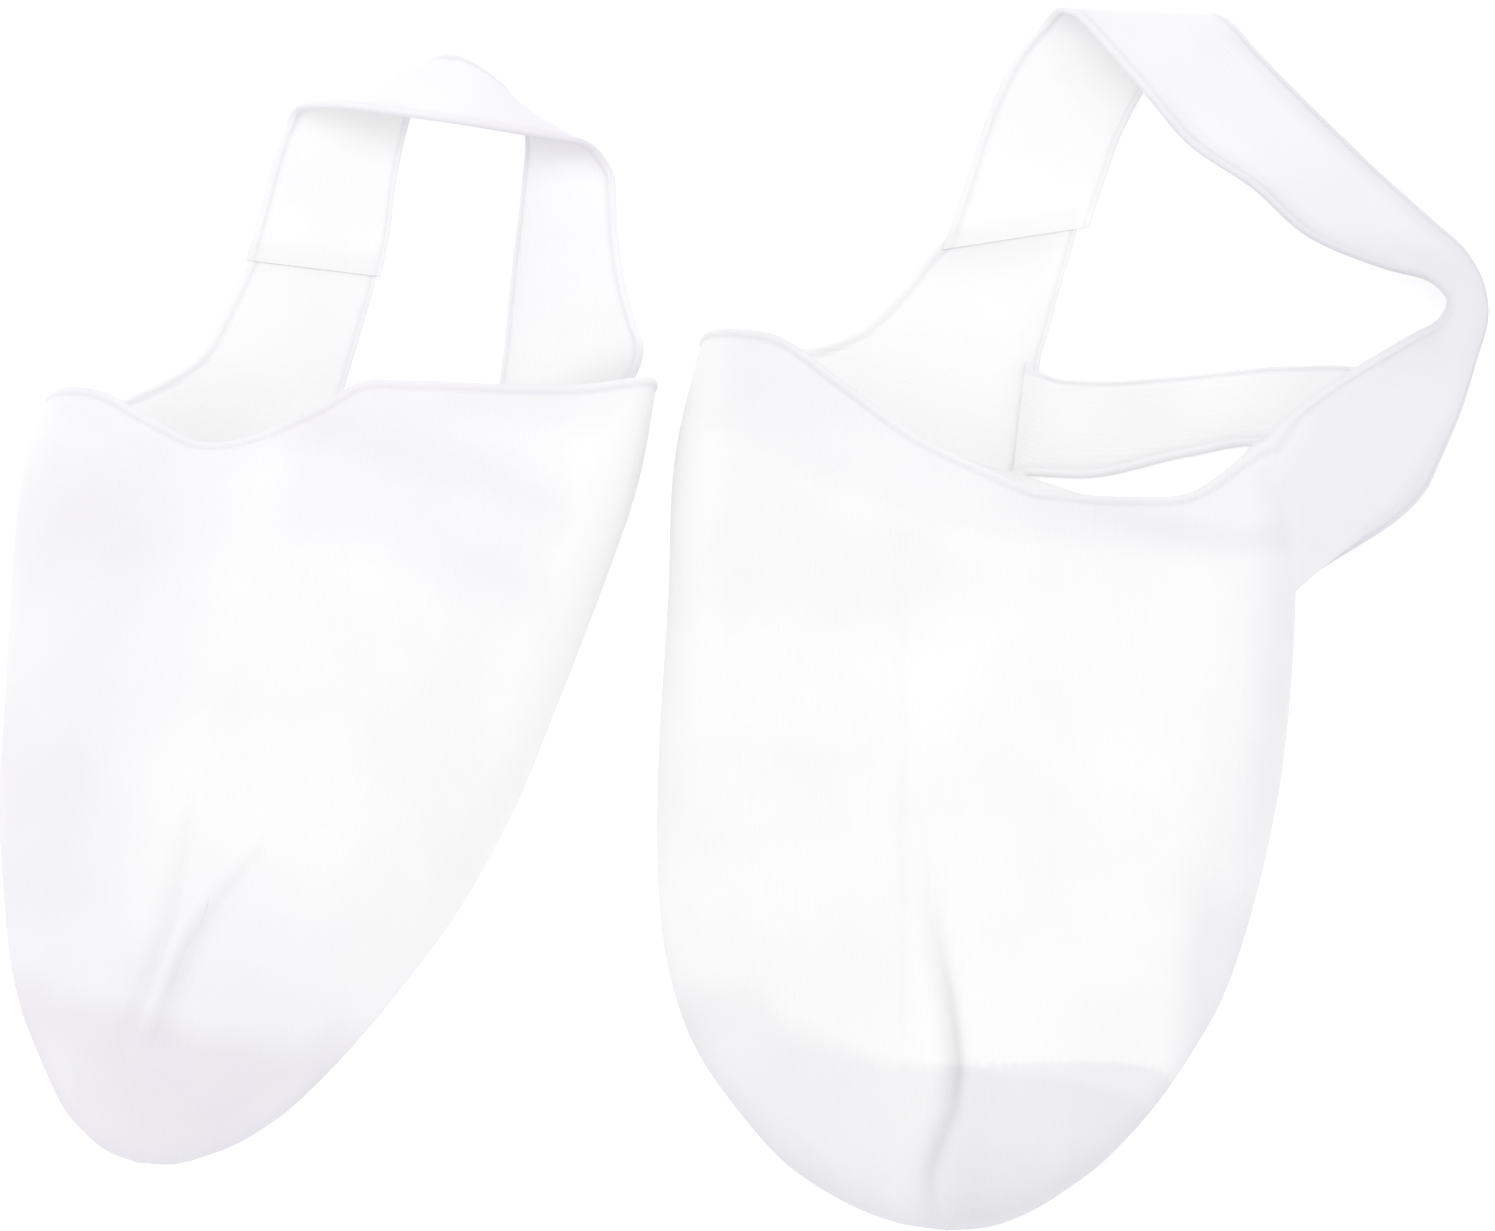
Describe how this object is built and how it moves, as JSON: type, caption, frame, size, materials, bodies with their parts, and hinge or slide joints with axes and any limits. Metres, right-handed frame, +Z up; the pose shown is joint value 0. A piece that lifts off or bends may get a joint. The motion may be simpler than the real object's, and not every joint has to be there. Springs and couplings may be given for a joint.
{
  "type": "pair of slingback toe-cover socks",
  "caption": "Pair of hollow semi-sheer knit toe covers with slingback heel straps and an arch band, lying sole down with the mouths open.",
  "frame": {"origin": "centre of the pair's footprint, on the ground", "axes": "+Z up, +Y from the toes towards the heel slings, +X towards the cover for the left foot"},
  "size_m": [0.207, 0.1786, 0.0326],
  "materials": {
    "knit": "fine semi-sheer knit, matte",
    "pad": "smooth soft pad, matte"
  },
  "bodies": {
    "root": {"left_vamp": "knit", "left_sole": "knit", "left_big_toe_wing": "knit", "left_little_toe_wing": "knit", "left_sling": "knit", "left_arch_band": "knit", "left_pad": "pad", "right_vamp": "knit", "right_sole": "knit", "right_big_toe_wing": "knit", "right_little_toe_wing": "knit", "right_sling": "knit", "right_arch_band": "knit", "right_pad": "pad"}
  },
  "joints": []
}
